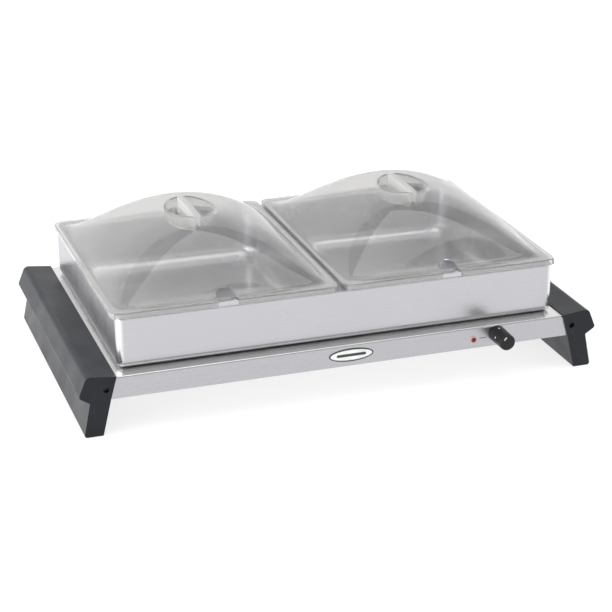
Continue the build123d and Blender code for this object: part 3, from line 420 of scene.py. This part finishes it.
def lid_skin(mesh, half, top, wall):
    """One skin of the lid, centred on the vertical axis, wall deep under the outer one. Returns its lip."""
    half, foot, top = [h - wall for h in half], top - LID_LIP, top - wall
    dome_half, well_half = [h - wall for h in DOME_HALF], [h + wall for h in WELL_HALF]
    edge, corner = max(LID_EDGE - wall, LEAST_EDGE), LID_CORNER - wall
    angles = lid_angles(math.acos((BAR_HALF - wall) / well_half[0]))

    def ring(points, level=None):
        return [mesh.verts.new((x, y, top + soft_rise(x, y, wall) if level is None else level))
                for x, y in points]

    mouth = [(well_half[0] * math.cos(a), well_half[1] * math.sin(a)) for a in angles]
    base = [on_rectangle(a, dome_half, DOME_CORNER) for a in angles]
    rows = [ring(mouth)]
    for step in range(1, DOME_ROWS + 1):
        rows.append(ring(between(mouth, base, 1 - (1 - step / DOME_ROWS) ** DOME_CROWDING)))
    inset = [h - edge for h in half]
    rim = [on_rectangle(a, inset, corner - edge) for a in angles]
    for share in RIM_ROWS:
        rows.append(ring(between(base, rim, share)))
    for turn in EDGE_TURNS:
        out, down = edge * math.sin(math.radians(turn)), edge * (1 - math.cos(math.radians(turn)))
        grown = [h + out for h in inset]
        rows.append(ring([on_rectangle(a, grown, corner - edge + out) for a in angles], top - down))
    for share in LIP_ROWS:
        rows.append(ring([on_rectangle(a, half, corner) for a in angles],
                         top - edge + (foot - top + edge) * share))
    for first, second in zip(rows, rows[1:]):
        stitch(mesh, first, second)

    well, side, wide = rows[0], sum(SIDE_STEPS), BAR_STEPS
    far = well[side:side + wide + 1]                      # the bar's rear end, right to left
    near = (well[2 * side + wide:] + well[:1])[::-1]
    ends = [[v.co[:2] for v in row] for row in (near, far)]
    bar = [near] + [ring(between(*ends, step / BAR_ROWS)) for step in range(1, BAR_ROWS)] + [far]
    for first, second in zip(bar, bar[1:]):
        stitch(mesh, first, second, closed=False)
    floor = top + DOME_RISE - WELL_DEEP
    pocket(mesh, well[:side + 1] + [row[0] for row in bar[-2:0:-1]], floor)
    pocket(mesh, well[side + wide:2 * side + wide + 1] + [row[-1] for row in bar[1:-1]], floor)
    return rows[-1]


def lid_wall(half, top):
    """The whole closed lid: the outer skin, the inner one and the lip between them."""
    mesh = bmesh.new()
    stitch(mesh, lid_skin(mesh, half, top, 0.0), lid_skin(mesh, half, top, LID_WALL - LID_GAP))
    bmesh.ops.recalc_face_normals(mesh, faces=mesh.faces)
    return mesh


def notch_cutter(front, top):
    """The arch tunnel that the spoon notch is cut with."""
    mesh = bmesh.new()
    radius, spring = NOTCH_WIDTH / 2, top + NOTCH_RISE - NOTCH_WIDTH / 2
    turns = spread((0, math.pi), (ARCH_STEPS,))
    arch = [(radius * math.cos(a), spring + radius * math.sin(a)) for a in turns]
    arch += [(-radius, spring), (-radius, top - 2 * LID_LIP), (radius, top - 2 * LID_LIP)]
    ends = [[mesh.verts.new((x, y, z)) for x, z in arch] for y in (front - NOTCH_PAST, front + NOTCH_REACH)]
    stitch(mesh, *ends)
    for end in ends:
        mesh.faces.new(end)
    bmesh.ops.recalc_face_normals(mesh, faces=mesh.faces)
    return mesh


def to_object(mesh, name):
    """Puts the mesh into the scene as an object and frees it."""
    data = bpy.data.meshes.new(name)
    mesh.to_mesh(data)
    mesh.free()
    item = bpy.data.objects.new(name, data)
    bpy.context.scene.collection.objects.link(item)
    return item


def settle(item):
    """Applies the object's modifiers to its mesh."""
    shape = item.evaluated_get(bpy.context.evaluated_depsgraph_get())
    data = bpy.data.meshes.new_from_object(shape)
    item.modifiers.clear()
    item.data = data


def clear_lid(node):
    """Replaces a CAD lid with a closed mesh of two smooth skins, and cuts its spoon notch."""
    low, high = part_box(node)
    half, middle = ((high.x - low.x) / 2, (high.y - low.y) / 2), (low + high) / 2
    top = low.z + LID_LIP
    lid = to_object(lid_wall(half, top), node.replace("lid_", "domed_lid_"))
    cutter = to_object(notch_cutter(-half[1], top), "cutter")
    notch = lid.modifiers.new("notch", "BOOLEAN")
    notch.object, notch.operation, notch.solver = cutter, "DIFFERENCE", "EXACT"
    settle(lid)
    bpy.data.objects.remove(cutter)
    lid.data.transform(Matrix.Translation((middle.x, middle.y, 0)))
    lid.data.polygons.foreach_set("use_smooth", [True] * len(lid.data.polygons))
    lid.data.set_sharp_from_angle(angle=SHARP_ANGLE)
    lid.data.materials.clear()
    lid.data.materials.append(FINISHES["clear_lid"])
    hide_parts(node)
    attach(lid, node)


for node in ("lid_left", "lid_right"):
    clear_lid(node)


# ---------------------------------------------------------------- floor, light, camera
FLOOR_REACH, WALL_BEND, WALL_TOP = 6.0, 1.2, 4.0
WALL_FOOT = REAR + 2.2
UNDER_FEET = -0.0002                            # keeps the floor just clear of the feet
FLOOR_TONE, FLOOR_GLOW = 0.30, 0.76

SKY_HEIGHTS, SKY_LEVELS = (0.22, 0.62), (1.0, 0.42)     # between these heights the sky fades
MIDDLE = (0, 0, 0.08)                           # what the lights point at
LIGHTS = [                                      # name, place, width and height, power
    ("overhead", (0.1, -0.1, 2.2), (2.6, 2.0), 27),
    ("left_box", (-2.2, -0.5, 0.42), (1.8, 0.8), 44),
    ("right_box", (2.0, -0.9, 1.1), (1.2, 1.4), 12),
    ("left_rear", (-1.9, 0.9, 0.55), (1.4, 0.8), 12),
]

EYE = Vector((-0.6542, -1.9441, 0.8797))
AZIMUTH, ELEVATION, ROLL = (math.radians(a) for a in (-18.78, 21.98, -0.14))
SENSOR, LENS = 36.0, 105.36                     # millimetres


def backdrop():
    """A pale floor that runs up into a wall behind."""
    mesh = bmesh.new()
    line = [(-FLOOR_REACH, 0.0), (WALL_FOOT, 0.0)]
    for turn in range(10, 91, 10):
        a = math.radians(turn)
        line.append((WALL_FOOT + WALL_BEND * math.sin(a), WALL_BEND * (1 - math.cos(a))))
    line.append((WALL_FOOT + WALL_BEND, WALL_TOP))
    rows = [[mesh.verts.new((x, y, z)) for x in (-FLOOR_REACH, FLOOR_REACH)] for y, z in line]
    for near, far in zip(rows, rows[1:]):
        mesh.faces.new((near[0], near[1], far[1], far[0])).smooth = True
    floor = to_object(mesh, "backdrop")
    floor.location.z = UNDER_FEET
    paint = Paint("backdrop")
    paint.set(Base_Color=tone(FLOOR_TONE), Roughness=0.9)
    paint.set(Emission_Color=tone(1.0), Emission_Strength=FLOOR_GLOW)
    floor.data.materials.append(paint.material)


def area_light(name, place, size, power):
    """A rectangular light that points at the middle of the scene."""
    lamp = bpy.data.lights.new(name, "AREA")
    lamp.shape = "RECTANGLE"
    lamp.size, lamp.size_y = size
    lamp.energy = power
    holder = bpy.data.objects.new(name, lamp)
    bpy.context.scene.collection.objects.link(holder)
    holder.location = place
    holder.rotation_euler = (Vector(MIDDLE) - Vector(place)).to_track_quat("-Z", "Y").to_euler()


def studio():
    """Soft white surroundings, brightest near the horizon, with lights above and on both sides."""
    world = bpy.data.worlds.new("studio")
    world.use_nodes = True
    nodes, links = world.node_tree.nodes, world.node_tree.links
    sky = nodes["Background"]
    sky.inputs["Color"].default_value = (1, 1, 1, 1)
    height = nodes.new("ShaderNodeSeparateXYZ")
    links.new(nodes.new("ShaderNodeTexCoord").outputs["Generated"], height.inputs[0])
    fade = nodes.new("ShaderNodeMapRange")
    links.new(height.outputs["Z"], fade.inputs["Value"])
    for key, number in zip(("From Min", "From Max", "To Min", "To Max"), SKY_HEIGHTS + SKY_LEVELS):
        fade.inputs[key].default_value = number
    links.new(fade.outputs["Result"], sky.inputs["Strength"])
    bpy.context.scene.world = world
    for light in LIGHTS:
        area_light(*light)
    bpy.context.scene.view_settings.view_transform = "Standard"


def camera():
    """The view from EYE: the azimuth from straight ahead, the elevation and the roll."""
    level = math.cos(ELEVATION)
    back = Vector((math.sin(AZIMUTH) * level, -math.cos(AZIMUTH) * level, math.sin(ELEVATION)))
    right = Vector((math.cos(AZIMUTH), math.sin(AZIMUTH), 0))
    up = back.cross(right)
    turned = Matrix.Rotation(ROLL, 3, back)
    axes = Matrix((turned @ right, turned @ up, back)).transposed()
    data = bpy.data.cameras.new("camera")
    data.sensor_width, data.lens = SENSOR, LENS
    eye = bpy.data.objects.new("camera", data)
    eye.matrix_world = Matrix.Translation(EYE) @ axes.to_4x4()
    bpy.context.scene.collection.objects.link(eye)
    bpy.context.scene.camera = eye


backdrop()
studio()
camera()
